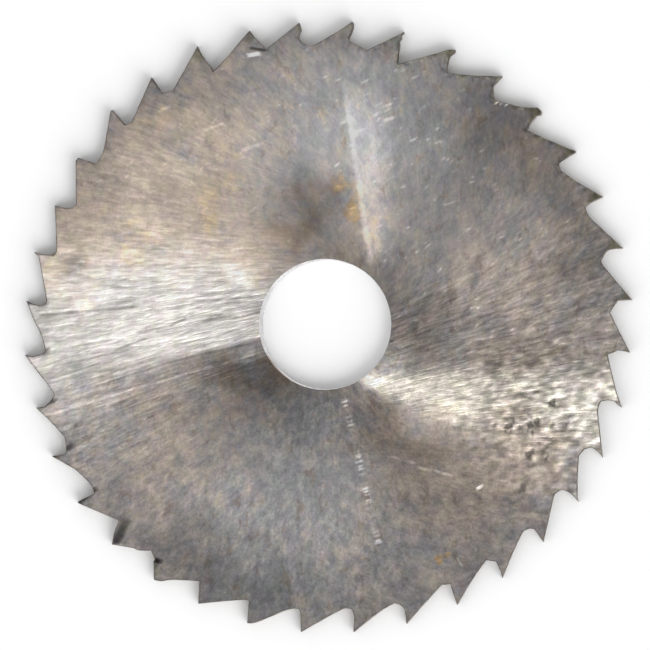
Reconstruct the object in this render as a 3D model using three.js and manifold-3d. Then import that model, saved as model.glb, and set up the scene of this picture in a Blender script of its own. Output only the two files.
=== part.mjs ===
// Carving disc for an angle grinder: one flat steel disc with thirty-six saw teeth filed by hand.
//
// The disc lies flat. Its origin is on the spindle axis at the underside, +Z points up through the
// bore, and +Y points to twelve o'clock. Seen from above the teeth cut clockwise. Units: millimetres.

import * as THREE from 'three';
import { mergeVertices } from 'three/addons/utils/BufferGeometryUtils.js';
import Module from 'manifold-3d';

// Driving dimensions
const TIP_DIAMETER = 105; // nominal circle through the tooth tips
const BORE_DIAMETER = 22.23; // standard seven-eighths-inch grinder arbor
const THICKNESS = 2.2;
const BORE_CHAMFER = 0.3; // 45 degrees, on both faces
const FIRST_TIP_ANGLE = 4.9; // degrees clockwise from twelve o'clock
const RIM_CENTRE = new THREE.Vector2(0.1, -0.4); // the teeth were filed a little off the bore's axis

// Fineness of the round stretches
const BORE_SIDES = 96;
const CURVE_STEPS = 3; // straight steps for each point of a rounded gullet
const CUTTER_OVERRUN = 1; // how far the bore's cutter stands out of the disc

// The teeth, clockwise from twelve o'clock. Every point is [ahead, depth]: ahead is measured along
// the tip circle from the tooth's nominal place towards the cut, and depth below the tip circle.
//   back   points on the long sloping back, only where it isn't straight
//   tip    the tip: one point if sharp, two or more if worn blunt or bent
//   face   the cutting face, from below the tip down to its foot
//   floor  the gullet floor, ending where the next tooth's back starts
//   round  true where face and floor are one smooth curve
const TEETH = [
  // Filed hooks and slopes of the top right quarter
  {
    back: [[-4.5, 2.8], [-1.6, 1.0], [-0.7, 0.3]],
    tip: [[-0.2, -0.2], [0.1, 0]],
    face: [[0.1, 0.9], [-0.2, 2.0], [-0.6, 2.7], [0, 3.4]],
    floor: [[3.1, 4.4]],
  },
  {
    back: [[-0.6, 0.5]],
    tip: [[-0.3, 0.1], [-0.1, 0.2], [-0.5, 0.9]],
    face: [[-0.3, 1.3], [-0.5, 1.9], [-0.3, 2.6], [0, 5.1]],
    floor: [[0.3, 5.7]],
  },
  {
    back: [[-2.9, 2.0], [-1.1, 0.6]],
    tip: [[-0.3, 0.2], [0.1, 0.1], [0.2, 0.6]],
    face: [[-0.2, 1.2], [-0.3, 1.9], [-0.1, 2.8], [0.1, 3.7]],
    floor: [[0.5, 4.2]],
  },
  { back: [[-4.5, 2.7]], tip: [[0.2, 0]], face: [[-0.1, 2.4], [0.8, 3.5]], floor: [[1.5, 4.1]] },
  {
    back: [[-3.2, 2.2], [-0.9, 0.4]],
    tip: [[-0.7, 0.3], [0.2, 0.3], [0.5, 0.8]],
    face: [[0.1, 1.5], [0.3, 3.4]],
    floor: [[0.7, 4.3]],
  },
  {
    back: [[-5.2, 3.1]],
    tip: [[0.1, 0.2], [0.2, 0.5]],
    face: [[0, 3.4], [0.2, 3.9]],
    floor: [[1.3, 4.2]],
  },
  {
    back: [[-4.5, 2.9]],
    tip: [[0.1, 0.1]],
    face: [[0.1, 2.7], [0.3, 3.5]],
    floor: [[0.6, 3.7], [2.4, 3.6]],
  },
  { tip: [[0.4, -0.1]], face: [[0, 2.1], [0.4, 3.1]], floor: [[1.6, 4.1], [2.4, 4.0]] },
  { tip: [[0.2, -0.1]], face: [[0.1, 2.4], [0.8, 2.9]], floor: [[2.1, 3.9]] },

  // Sharp hooks and rounded gullets of the bottom right quarter
  { tip: [[0.1, 0.3]], face: [[-0.1, 2.3], [0.3, 3.1]], floor: [[0.8, 4.1]] },
  {
    back: [[-2.4, 1.8]],
    tip: [[0.5, 0]],
    face: [[0.2, 0.9], [-0.2, 1.5], [-0.2, 2.2], [0, 2.9]],
    floor: [[0.6, 3.8], [2.3, 3.8]],
    round: true,
  },
  { tip: [[0.5, 0.1]], face: [[0.1, 0.9], [-0.2, 2.0], [-0.2, 2.7], [0.6, 3.6]], floor: [[2.1, 3.9]] },
  {
    back: [[-4.5, 2.8], [-0.6, 0.5]],
    tip: [[0, -0.2]],
    face: [[-0.2, 0.8], [-0.4, 1.7], [-0.3, 2.6], [0, 3.4]],
    floor: [[1.1, 3.9], [1.9, 3.8]],
    round: true,
  },
  { tip: [[0, 0.1]], face: [[-0.2, 1.1], [-0.5, 2.8], [0.2, 3.5]], floor: [[1.3, 3.8]] },
  { back: [[-3.8, 2.2]], tip: [[0.2, -0.1]], face: [[-0.2, 0.9], [-0.6, 2.8]], floor: [[0.8, 4.0]] },
  { back: [[-4.5, 2.5]], tip: [[0, -0.2]], face: [[-0.2, 1.9], [-0.5, 3.5]], floor: [[1.1, 4.0]] },
  {
    back: [[-3.1, 1.7]],
    tip: [[0.1, -0.3]],
    face: [[-0.1, 0.9], [-0.2, 2.0], [0, 2.7]],
    floor: [[0.6, 3.3], [1.3, 3.6], [1.9, 3.5]],
    round: true,
  },
  { back: [[-5.0, 2.8]], tip: [[0.1, -0.1]], face: [[-0.2, 2.8], [0.2, 3.8]], floor: [[2.0, 3.9]] },

  // Upright and forward-leaning faces of the bottom left quarter
  { tip: [[0, -0.1]], face: [[0.4, 3.1], [0.8, 3.8]], floor: [[2.9, 3.4]] },
  { back: [[-1.3, 0.3]], tip: [[0.2, -0.2]], face: [[0.8, 2.7], [0.9, 3.5]], floor: [[2.2, 3.4]] },
  { tip: [[0.1, 0]], face: [[0.6, 1.2], [1.3, 2.8]], floor: [[1.7, 3.6]] },
  {
    back: [[-2.9, 1.4], [-1.6, 0.3]],
    tip: [[-0.5, -0.2], [-0.3, -0.1]],
    face: [[0.2, 0.6], [1.0, 1.6], [1.6, 2.3], [1.6, 2.7]],
    floor: [[3.1, 3.5]],
  },
  {
    back: [[-4.3, 2.2], [-3.1, 1.8]],
    tip: [[-0.1, -0.2]],
    face: [[0.9, 1.2], [1.5, 2.2], [2.0, 3.4]],
    floor: [[2.3, 3.5], [3.1, 3.1]],
  },
  { tip: [[0, -0.1], [0.2, 0.2]], face: [[-0.3, 3.1]], floor: [[0.6, 3.5], [1.9, 3.5]] },
  {
    back: [[-4.5, 2.8], [-3.2, 2.2]],
    tip: [[0.1, 0]],
    face: [[-0.6, 2.4]],
    floor: [[1.6, 3.3], [3.2, 3.1]],
  },
  {
    back: [[-2.8, 1.8]],
    tip: [[-0.2, 0.3]],
    face: [[-0.5, 1.9], [0.3, 3.1]],
    floor: [[1.0, 3.9], [2.0, 3.8]],
  },
  {
    back: [[-5.2, 2.9]],
    tip: [[0, 0]],
    face: [[-0.2, 0.8], [-0.4, 1.6], [-0.2, 2.5], [0.1, 3.3]],
    floor: [[0.6, 3.6], [2.4, 3.3], [4.3, 2.7]],
    round: true,
  },

  // Short, blunt and torn teeth of the top left quarter
  {
    back: [[-3.4, 1.9]],
    tip: [[0.2, 0.3]],
    face: [[-0.2, 1.3], [-0.5, 2.6], [0.1, 3.7]],
    floor: [[0.6, 3.8]],
  },
  {
    back: [[-3.6, 2.2], [-0.9, 1.1], [-0.7, 0.5]],
    tip: [[-0.5, 0.2], [-0.4, 0.6]],
    face: [[-0.5, 1.3], [-0.2, 2.9], [0.2, 3.5]],
    floor: [[0.7, 3.9]],
  },
  {
    back: [[-5.2, 2.9], [-0.9, 1.0]],
    tip: [[-0.7, 0.8]],
    face: [[-0.6, 1.9], [-0.3, 2.9]],
    floor: [[0.2, 3.9], [1.1, 4.2]],
  },
  { tip: [[-1.3, 0.4], [-0.6, 0.5]], face: [[-0.2, 1.8], [0.2, 3.3]], floor: [[0.4, 3.6], [2.3, 3.5]] },
  { back: [[-4.5, 2.5]], tip: [[-0.2, -0.2], [0.4, -0.3]], face: [[0.1, 3.1]], floor: [[1.5, 3.6]] },
  { back: [[-5.2, 2.5]], tip: [[0, -0.2]], face: [[-0.1, 3.1]], floor: [[1.8, 3.8]] },
  { back: [[-4.5, 2.3]], tip: [[0.3, -0.9]], face: [[0.3, 0.8], [0.9, 3.3]], floor: [[1.0, 4.2]] },
  { back: [[-6.1, 3.5]], tip: [[0.4, -0.3]], face: [[0.9, 0.9]], floor: [[2.5, 3.5]] },
  {
    tip: [[-0.1, -0.1]],
    face: [[0.1, 0.9], [0.1, 1.2], [-0.3, 1.9], [-0.5, 2.6], [0.1, 3.5]],
    floor: [[2.0, 4.1]],
  },
];

const TIP_RADIUS = TIP_DIAMETER / 2;
const BORE_RADIUS = BORE_DIAMETER / 2;
const PITCH_ANGLE = 360 / TEETH.length;

const steel = new THREE.MeshStandardMaterial({ color: 0x9a9691, roughness: 0.4, metalness: 0.95 });

// A tooth's point as a place on the disc, from its turn around the rim's centre and its radius.
function placeOnDisc(toothNumber, [ahead, depth]) {
  const tipAngle = THREE.MathUtils.degToRad(FIRST_TIP_ANGLE + toothNumber * PITCH_ANGLE);
  const angle = tipAngle + ahead / TIP_RADIUS;
  const radius = TIP_RADIUS - depth;
  return new THREE.Vector2(radius * Math.sin(angle), radius * Math.cos(angle)).add(RIM_CENTRE);
}

// The toothed outline: each tooth adds its back, tip, face and gullet floor in turn.
function toothedOutline() {
  const outline = new THREE.Shape();
  const lastTooth = TEETH.length - 1;
  const start = placeOnDisc(lastTooth, TEETH[lastTooth].floor.at(-1));
  outline.moveTo(start.x, start.y);
  TEETH.forEach((tooth, toothNumber) => {
    const place = (point) => placeOnDisc(toothNumber, point);
    const gullet = [...tooth.face, ...tooth.floor].map(place);
    for (const point of [...(tooth.back ?? []), ...tooth.tip].map(place)) {
      outline.lineTo(point.x, point.y);
    }
    if (tooth.round) {
      outline.splineThru(gullet);
    } else {
      gullet.forEach((point) => outline.lineTo(point.x, point.y));
    }
  });
  return outline;
}

function blank() {
  return new THREE.ExtrudeGeometry(toothedOutline(), {
    depth: THICKNESS,
    bevelEnabled: false,
    curveSegments: CURVE_STEPS,
  });
}

// The solid that cuts the bore and its two chamfers: a shaft that widens as it leaves each face.
function boreCutter() {
  const mouth = BORE_RADIUS + BORE_CHAMFER + CUTTER_OVERRUN;
  const profile = [
    new THREE.Vector2(0, -CUTTER_OVERRUN),
    new THREE.Vector2(mouth, -CUTTER_OVERRUN),
    new THREE.Vector2(BORE_RADIUS, BORE_CHAMFER),
    new THREE.Vector2(BORE_RADIUS, THICKNESS - BORE_CHAMFER),
    new THREE.Vector2(mouth, THICKNESS + CUTTER_OVERRUN),
    new THREE.Vector2(0, THICKNESS + CUTTER_OVERRUN),
  ];
  const cutter = new THREE.LatheGeometry(profile, BORE_SIDES);
  cutter.rotateX(Math.PI / 2); // the lathe's axis is Y
  return cutter;
}

const wasm = await Module();
wasm.setup();

function toSolid(geometry) {
  const bare = geometry.clone();
  bare.deleteAttribute('normal');
  bare.deleteAttribute('uv');
  const merged = mergeVertices(bare);
  return new wasm.Manifold(
    new wasm.Mesh({
      numProp: 3,
      vertProperties: new Float32Array(merged.attributes.position.array),
      triVerts: new Uint32Array(merged.index.array),
    }),
  );
}

function toGeometry(solid) {
  const mesh = solid.getMesh();
  const geometry = new THREE.BufferGeometry();
  geometry.setAttribute('position', new THREE.BufferAttribute(mesh.vertProperties, 3));
  geometry.setIndex(new THREE.BufferAttribute(mesh.triVerts, 1));
  geometry.computeVertexNormals();
  return geometry;
}

function toothedDisc() {
  const bored = toSolid(blank()).subtract(toSolid(boreCutter()));
  const disc = new THREE.Mesh(toGeometry(bored), steel);
  disc.name = 'toothed_disc';
  return disc;
}

const group = new THREE.Group();
group.add(toothedDisc());

export default group;
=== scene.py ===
"""A saw-toothed steel disc for an angle grinder, lying on a white table and seen from above.

All lengths are in millimetres until the last step of each piece, where they become metres.
Angles around the disc are degrees clockwise from twelve o'clock, seen from above.
"""

import math

import bpy
import numpy as np
from mathutils import Matrix, Vector, noise
from mathutils.geometry import delaunay_2d_cdt


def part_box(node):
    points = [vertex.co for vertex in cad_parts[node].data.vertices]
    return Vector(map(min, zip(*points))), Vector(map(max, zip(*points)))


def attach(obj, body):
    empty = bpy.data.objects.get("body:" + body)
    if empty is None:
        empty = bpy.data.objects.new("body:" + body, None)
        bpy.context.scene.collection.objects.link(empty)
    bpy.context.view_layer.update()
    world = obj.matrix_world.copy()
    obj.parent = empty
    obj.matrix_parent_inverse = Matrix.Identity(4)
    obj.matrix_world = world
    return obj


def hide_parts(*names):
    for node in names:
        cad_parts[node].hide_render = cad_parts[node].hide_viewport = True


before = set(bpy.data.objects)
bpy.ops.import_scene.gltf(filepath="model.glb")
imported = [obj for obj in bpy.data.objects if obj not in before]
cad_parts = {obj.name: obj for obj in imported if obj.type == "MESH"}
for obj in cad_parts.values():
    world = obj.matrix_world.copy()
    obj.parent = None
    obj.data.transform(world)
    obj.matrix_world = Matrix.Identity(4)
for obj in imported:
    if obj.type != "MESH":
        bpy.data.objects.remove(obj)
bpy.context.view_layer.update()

MM = 0.001
TIP_RADIUS = 52.5
NEAR_RIM = 43  # the outline is nowhere nearer to the centre than this
FAR_FROM_EDGE = 4.0
FIRST_TIP_ANGLE = 4.9
TOOTH_PITCH = 10.0

low_corner, high_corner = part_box("toothed_disc")
THICKNESS = (high_corner.z - low_corner.z) / MM


# ---------------- places on the disc


def place(angle, radius):
    """The x and y of a point at a clock angle and a radius."""
    turn = math.radians(angle)
    return np.array([radius * math.sin(turn), radius * math.cos(turn)])


def clock_angle(x, y):
    return np.degrees(np.arctan2(x, y)) % 360


def angle_between(angle, centre):
    """How far an angle is clockwise of a centre, from -180 to 180."""
    return (angle - centre + 180) % 360 - 180


def smooth_step(low, high, value):
    """Rises smoothly from 0 at low to 1 at high, where low may also be the larger one."""
    t = np.clip((value - low) / (high - low), 0, 1)
    return t * t * (3 - 2 * t)


def bell(distance, width):
    return np.exp(-((distance / width) ** 2))


def wander(x, y, size, seed):
    """Soft noise from -1 to 1, with features about as large as size."""
    return np.array(
        [noise.noise((a / size + seed, b / size - seed, seed)) for a, b in zip(x, y)]
    )


def warped(x, y, size, reach, seed):
    """Places moved about by soft noise, to make the edges of marks irregular."""
    return x + reach * wander(x, y, size, seed), y + reach * wander(x, y, size, seed + 5.3)


def from_line(x, y, start, end):
    """The distance of points from the line between two places."""
    start, end = np.array(start, float), np.array(end, float)
    along = end - start
    length = np.hypot(*along)
    along = along / length
    dx, dy = x - start[0], y - start[1]
    run = dx * along[0] + dy * along[1]
    aside = np.abs(dx * along[1] - dy * along[0])
    beyond = np.maximum(0, np.maximum(-run, run - length))
    return np.hypot(aside, beyond)


def following(ring):
    """The next point of a closed ring for each of its points."""
    return np.roll(ring, -1, axis=0)


def in_blocks(indices):
    """Splits indices, so that a table of distances to the outline stays small."""
    return np.array_split(indices, max(1, len(indices) // 1000))


def gap_to(points, ring):
    """The distance of points from the nearest point of a ring, up to FAR_FROM_EDGE."""
    gap = np.full(len(points), FAR_FROM_EDGE)
    for block in in_blocks(np.nonzero(np.hypot(*points.T) > NEAR_RIM)[0]):
        away = points[block][:, None, :] - ring[None, :, :]
        gap[block] = np.minimum(FAR_FROM_EDGE, np.sqrt((away**2).sum(axis=2).min(axis=1)))
    return gap


def new_object(name, data):
    thing = bpy.data.objects.new(name, data)
    bpy.context.scene.collection.objects.link(thing)
    return thing


# ---------------- marks on the upper face

# The teeth and all the marks are laid out from the rim's centre, a little off the bore's axis.
RIM_CENTRE = np.array([0.1, -0.4])

# Corrosion pits: clock angle, radius, half width and depth.
PITS = [
    (118.6, 35.6, 0.85, 0.09),
    (119.6, 36.4, 0.55, 0.05),
    (115.9, 38.6, 0.7, 0.09),
    (114.6, 39.6, 0.65, 0.08),
    (117.2, 39.8, 0.55, 0.05),
    (108.6, 40.9, 0.65, 0.1),
    (109.8, 40.5, 0.45, 0.05),
    (122.3, 41.2, 0.85, 0.08),
    (129.5, 43.5, 1.1, 0.05),
    (131, 42.9, 0.9, 0.03),
    (117.6, 37.3, 0.4, 0.04),
    (113.6, 38, 0.35, 0.04),
    (119.4, 42.9, 0.8, 0.05),
    (120.9, 44, 0.8, 0.05),
    (117.5, 43.2, 0.6, 0.04),
    (120.6, 33.4, 0.6, 0.04),
    (113.9, 42.2, 0.7, 0.04),
    (112.2, 44.6, 0.8, 0.04),
]

# Scratches and nicks: start, end, half width, depth and shine, which is negative for dark ones.
SCRATCHES = [
    # Long light and dark lines of the left fan: shallow grooves with painted highlight and painted
    # shade along them.
    ((-11, -4.3), (-29, -9.5), 0.2, 0.022, 0.9),
    ((-29, -9.5), (-48.6, -15.2), 0.22, 0.022, 1),
    ((-11.2, -1.5), (-14.7, -2.3), 0.2, 0.022, 0.6),
    ((-14.7, -2.3), (-27.1, -5), 0.22, 0.022, 0.8),
    ((-27.1, -5), (-45.6, -11.2), 0.2, 0.022, 0.6),
    ((-14, -3), (-26, -5.7), 0.22, 0.012, -0.9),
    ((-26, -5.7), (-40, -10.2), 0.18, 0.012, -0.6),
    ((-33.3, 3.95), (-49.4, 2.55), 0.2, 0.016, 0.5),
    ((-33.3, 3.5), (-49.4, 2.1), 0.24, 0.02, -1.3),
    ((-22.6, 4.95), (-10.8, 5.85), 0.22, 0.018, 0.6),
    ((-22.6, 4.4), (-12.8, 5.1), 0.2, 0.012, -0.8),
    ((-32.6, -0.9), (-27.1, 0.2), 0.22, 0.02, -1.1),
    ((-27.1, 0.2), (-24.3, 1.5), 0.22, 0.02, -1.1),
    ((-24.3, 1.5), (-18.5, 2.2), 0.24, 0.02, -1),
    ((-21.5, 1), (-16.5, 1.9), 0.26, 0.02, -1.3),
    ((-16, 1.6), (-11.6, 2.5), 0.24, 0.02, -1.1),
    ((-36.7, -4), (-31.2, -1.9), 0.24, 0.02, -1.1),
    ((-44, -3.4), (-38, -2.2), 0.2, 0.012, -0.8),
    ((-46, -6.5), (-36.5, -4.4), 0.2, 0.012, -0.9),
    ((-38, -13.4), (-30, -10.3), 0.18, 0.016, 0.6),
    ((-44, -15.6), (-37.5, -12.9), 0.18, 0.016, 0.7),
    ((-42, -10.7), (-33, -7.6), 0.18, 0.016, 0.6),
    ((-47.6, -9.2), (-41.5, -7.3), 0.2, 0.016, 0.6),
    # The bright line above the bore, a shallow groove with a painted highlight along it, and the flecks
    # at its upper end.
    ((3.3, 39.8), (7.4, 11.4), 0.5, 0.012, 0.75),
    ((10.2, 37.9), (11.3, 38.4), 0.24, 0.018, 0.7),
    ((9.9, 37), (11, 37.5), 0.2, 0.018, 0.5),
    ((10.3, 35.5), (11.4, 35.9), 0.3, 0.02, 0.95),
    ((8, 36.2), (9, 36.8), 0.26, 0.016, 0.45),
    ((8.3, 37.9), (9.4, 38.5), 0.22, 0.016, 0.4),
    ((5, 33.5), (6.6, 34), 0.24, 0.012, 0.35),
    # A bright nick at the lower right, and a gouge near the top, painted highlight on its lower side
    # and painted shade along its upper lip.
    ((25.95, -27.8), (26.45, -27.5), 0.26, 0.03, 2.9),
    ((-13.2, 46.8), (-12, 47), 0.34, 0.03, 2.6),
    ((-13.1, 48), (-10.6, 47.6), 0.24, 0.03, -2),
    # Light scratches at the upper left.
    ((-29, 37.2), (-27.2, 38), 0.28, 0.016, 0.55),
    ((-21, 33.9), (-18, 35), 0.26, 0.016, 0.55),
    ((-14.3, 30.5), (-11.4, 31.5), 0.34, 0.016, 0.5),
    # Three nicks beside a gullet at the upper right.
    ((28.9, 38.1), (29.6, 38.7), 0.15, 0.02, 2.3),
    ((29.75, 38), (30.45, 38.6), 0.15, 0.02, 2.4),
    ((30.65, 37.8), (31.3, 38.3), 0.14, 0.02, 2.1),
    # Dark bites in two teeth at the lower left, with painted shade below the first and a light line
    # beside the second.
    ((-29.8, -40), (-29.1, -40.2), 0.42, 0.08, -3.5),
    ((-29.4, -40.5), (-29.9, -42.6), 0.34, 0.03, -0.8),
    ((-34.9, -33.9), (-36.2, -36.7), 0.7, 0.06, -2),
    ((-36.3, -37.2), (-33.5, -38.4), 0.3, 0.03, 0.9),
    # A broken line below the wedge.
    ((10.8, -22.3), (12.2, -22.6), 0.26, 0.012, 0.6),
    ((14.2, -23.2), (15, -23.4), 0.26, 0.012, 0.7),
    ((16, -24.2), (17.2, -24.6), 0.28, 0.012, 0.8),
    ((18.4, -24.7), (19.4, -25), 0.28, 0.012, 0.85),
    ((20, -25.2), (21.6, -25.6), 0.28, 0.012, 0.9),
    # Short light scratches elsewhere.
    ((22.3, -39.6), (23.3, -41.2), 0.18, 0.012, 0.8),
    ((-46.5, 12.5), (-44, 13.2), 0.22, 0.012, 0.6),
    ((-16.5, 13.2), (-11, 13.8), 0.22, 0.012, 0.55),
]

# A row of short ticks: the first and last place, how many there are, and how far they reach.
TICK_ROW = ((3.0, -12.4), (8.9, -37.2), 40, 0.50)

# Where along the row, from 0 to 1, the ticks are brightest.
TICK_GROUPS = (0.03, 0.16, 0.42, 0.48, 0.63, 0.69, 0.98)

# A scatter of small nicks: how many, and between which clock angles and radii.
NICK_COUNT = 190
NICK_ANGLES = (-80, 95)
NICK_RADII = (14, 48)

# Teeth with a dark line along the cutting face, and the radii where it starts and ends.
DARK_FACES = (23, 24, 25, 26, 27, 28)
DARK_FACE_RADII = (52.2, 49.0)

# Facets filed on the tips: tooth number, size, slope and lightness.
FACETS = [
    (2, 1.6, 0.08, -0.3),
    (4, 2.3, 0.1, -0.4),
    (5, 2.4, 0.1, -0.45),
    (6, 2.3, 0.1, -0.5),
    (7, 2.2, 0.08, -0.4),
    (8, 2.1, 0.08, -0.4),
    (9, 1.4, 0.06, -0.25),
    (33, 1.8, 0.08, -0.25),
    (34, 1.7, 0.08, -0.4),
    (35, 1.4, 0.06, -0.3),
]

# Where the grinding marks show more, as bumps and as painted highlight streaks: strength, clock angle
# and half width.
MARK_SHEEN_SECTORS = ((0.75, 84, 20), (0.30, 300, 30), (0.40, 106, 13), (0.55, 247, 11))


def patch(x, y, half_width, half_height, light=0.0, tan=0.0, brown=0.0, ochre=0.0):
    """A soft patch of lightness and stain: its middle, its size, and the strength of each of its
    colours. Its lightness is partly the steel's own tone and partly painted highlight and shade.
    """
    return x, y, half_width, half_height, (light, tan, brown, ochre)


# Much of the patches' lightness is painted highlight and shade that shapes the fans and the pale band;
# the rest is the steel's own tone and stains.
PATCHES = [
    # Upper left.
    patch(-30, 24, 17, 14, light=0.48, tan=0.95),
    patch(-44, 16, 6, 6, light=0.1, tan=0.7),
    patch(-21.5, 19.5, 5, 4, ochre=0.42),
    patch(-28.5, 36, 3.4, 4, ochre=0.38),
    patch(-19, 26, 4.4, 4, light=0.05, ochre=0.32),
    patch(-32, 15.2, 4, 3, ochre=0.38),
    patch(-38, 20, 5, 4, ochre=0.32),
    patch(-43.5, 10.8, 2.8, 1.6, light=-0.35, brown=0.55, ochre=0.3),
    patch(-25.5, 30.6, 3, 3, light=0.15, tan=-0.4),
    patch(-33, 18, 8, 4.5, light=0.3, tan=0.05),
    patch(-45, 7.5, 4, 4, light=0.15, tan=0.5),
    # Around the bore, left and above.
    patch(-7, 14, 4, 3, light=0.35),
    patch(-13, 14, 8, 4.5, light=0.55, tan=0.6, brown=0.35),
    patch(3.5, 14.5, 6, 4, light=0.4, tan=0.3, brown=0.2),
    patch(-3, 19.5, 4.5, 5, light=-0.6, brown=0.6),
    patch(0, 24.5, 4, 2.4, light=-0.1, brown=0.5),
    patch(2.5, 24.3, 1.4, 1.1, light=0.3, brown=0.9, ochre=0.75),
    patch(4.2, 19.8, 1.5, 1.5, brown=0.9, ochre=0.6),
    patch(4.6, 22.4, 1.3, 3.4, light=0.05, ochre=0.45),
    patch(7.4, 17, 1.3, 5, light=0.2, tan=0.3, ochre=0.4),
    patch(-15, 8.5, 4, 3, light=0.6),
    patch(-22, 12, 8, 4, light=0.3),
    patch(-7, 15, 4, 3, tan=0.5, brown=0.4),
    # Top and the pale band of painted highlight.
    patch(0, 31, 26, 15, light=0.52, tan=-0.1),
    patch(-18, 36, 9, 7, light=0.15, tan=0.65),
    patch(-13, 31, 4, 3.5, light=0.15, tan=-0.3),
    patch(7, 38, 13, 9, tan=-0.55),
    patch(1, 33, 5, 9, light=0.27),
    patch(2, 45, 14, 4, light=0.35, tan=0.1),
    patch(7.5, 38, 4, 5, light=0.1, tan=0.1),
    patch(7.5, 27, 4, 8, light=0.15, tan=0.15),
    patch(-15, 38, 5, 5, tan=-0.45),
    patch(-15, 46, 4, 3, light=0.15, tan=0.4),
    # Upper right and right.
    patch(8.5, 17, 4, 6, light=0.25, tan=0.1),
    patch(18, 7.5, 8, 5, light=0.35, tan=0.3, brown=0.2),
    patch(30, 8, 6, 4, light=0.25, tan=0.3),
    patch(14.5, -1.5, 6, 5, light=-0.55, brown=0.1),
    patch(29, 33, 12, 9, light=-0.65, brown=0.3),
    patch(41, 15, 10, 13, light=-0.45, tan=0.2, brown=0.15),
    patch(33, 2, 16, 8, light=-0.15, tan=0.25, brown=0.05),
    patch(46, 7, 4, 4, light=-0.35),
    patch(20, 0, 6, 5, light=-0.25),
    patch(36, 14, 6, 5, light=0.4, tan=0.1),
    patch(37, 30, 5, 5, tan=0.4),
    patch(15, 31, 5, 6, tan=-0.8),
    patch(38, 8, 5, 4, light=0.15),
    patch(31, 31, 5, 5, tan=0.4),
    patch(45, 15, 4, 4, tan=0.3),
    # The wedge of painted highlight at the lower right, and below it.
    patch(15, -15.5, 5, 3, light=0.2, tan=0.1),
    patch(33, -6, 12, 3.5, light=-0.7, tan=0.5),
    patch(33, -15, 6, 4, light=-0.25, tan=0.3),
    # The wedge's bright apex beside the bore: painted highlight.
    patch(7.6, -9, 2.6, 1.8, light=1.3, tan=0.1),
    patch(12, -10.2, 5, 2.3, light=1, tan=0.05),
    patch(10.6, -6.4, 2.6, 2.2, light=0.45, tan=-0.5, brown=-0.2),
    patch(19, -12.5, 6, 2.6, light=0.35, tan=0.2),
    patch(22, -16, 8, 2.8, light=0.35, tan=0.3),
    patch(16, -21.5, 8, 4.5, light=-0.5, tan=0.6, brown=0.5),
    patch(24, -30, 10, 7, light=-0.32, tan=0.6, brown=0.15),
    patch(34, -22, 9, 6, tan=0.7),
    patch(46, -14.5, 4, 5, light=0.6),
    patch(30, -30, 5, 5, light=-0.2),
    patch(44, -16, 4, 4, light=0.2),
    patch(38, -22, 4, 4, light=0.2),
    # Bottom.
    patch(-2, -38, 9, 8, light=0.15),
    patch(0, -15, 6, 4, tan=-0.5, brown=-0.2),
    patch(7.5, -22, 4, 6, light=-0.15, tan=0.2, brown=0.1),
    patch(9, -17, 4, 4, light=-0.3, tan=0.3, brown=0.35),
    patch(-14, -45, 8, 4, light=-0.45, tan=-0.4),
    patch(-11, -33, 11, 12, light=0.1, tan=-0.5),
    patch(0, -32, 8, 14, light=0.22, tan=-0.35),
    patch(19.8, -39.6, 1, 0.9, light=0.15, brown=1.2, ochre=1.6),
    patch(6.4, -39.6, 0.9, 0.5, light=0.05, ochre=0.9),
    # Lower left.
    patch(-15, -30, 5, 5, light=0.25),
    patch(-7, -14, 4, 4, light=-0.3),
    patch(-15.5, -7.5, 8, 3.5, light=-1.15, brown=0.6),
    patch(-15, -15, 4, 4, tan=0.1, brown=0.2),
    patch(-8.6, -7.2, 2.6, 2.6, brown=0.7, ochre=0.1),
    patch(-16, -15, 7, 5, light=-0.1, tan=0.3, brown=0.4),
    patch(-27, -14, 8, 4, light=-0.35, tan=0.2),
    patch(-38, -7.5, 5, 2.5, light=-0.5),
    patch(-45.5, -15, 4, 4, light=0.45),
    patch(-28, -21, 9, 7, light=0.15, tan=0.55, brown=0.1),
    patch(-22, -28, 10, 6, light=0.3, tan=0.2),
    patch(-22.5, -38, 6, 4, light=-0.4),
]


def dark_faces():
    """Dark lines along the cutting faces of some teeth."""
    outer, inner = DARK_FACE_RADII
    for tooth in DARK_FACES:
        tip_angle = FIRST_TIP_ANGLE + TOOTH_PITCH * tooth
        yield tuple(place(tip_angle, outer)), tuple(place(tip_angle + 0.2, inner)), 0.48, 0.020, -2.20


def ticks(random):
    """The row of short ticks, brighter in groups."""
    start, end, count, reach = TICK_ROW
    for step in range(count):
        run = (step + random.uniform(-0.35, 0.35)) / (count - 1)
        x, y = np.array(start) * (1 - run) + np.array(end) * run
        half = reach * random.uniform(0.5, 1.15)
        group = max(float(bell(run - at, 0.035)) for at in TICK_GROUPS)
        shine = (0.30 + 1.9 * group) * random.uniform(0.5, 1.1)
        yield (x - half, y - 0.3 * half), (x + half, y + 0.3 * half), 0.20, 0.014, shine


def small_nicks(random):
    """A scatter of small light nicks, fainter at the left."""
    near, far = NICK_RADII
    for _ in range(NICK_COUNT):
        angle, radius = random.uniform(*NICK_ANGLES), math.sqrt(random.uniform(near**2, far**2))
        x, y = place(angle, radius)
        slant = math.radians(random.normal(30, 12))
        half = 0.12 + random.exponential(0.15)
        dx, dy = half * math.cos(slant), half * math.sin(slant)
        shine = random.uniform(0.25, 0.8) * (0.6 if angle < -10 else 1.1)
        yield (x - dx, y - dy), (x + dx, y + dy), 0.19, 0.012, shine


nick_random = np.random.default_rng(23)
NICKS = [*SCRATCHES, *dark_faces(), *ticks(nick_random), *small_nicks(nick_random)]


def pit_shape(x, y):
    """The depth of the corrosion pits."""
    recess = np.zeros_like(x)
    x, y = warped(x, y, 0.8, 0.5, 6.6)
    ragged = 1 + 0.6 * wander(x, y, 0.4, 2.6)
    for angle, radius, half_width, depth in PITS:
        cx, cy = place(angle, radius)
        dx, dy = x - cx - 0.35 * (y - cy), y - cy
        far = np.hypot(dx * 1.15, dy * 0.75) * ragged
        recess = np.maximum(recess, depth * bell(far, half_width * 0.9))
    return recess


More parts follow.
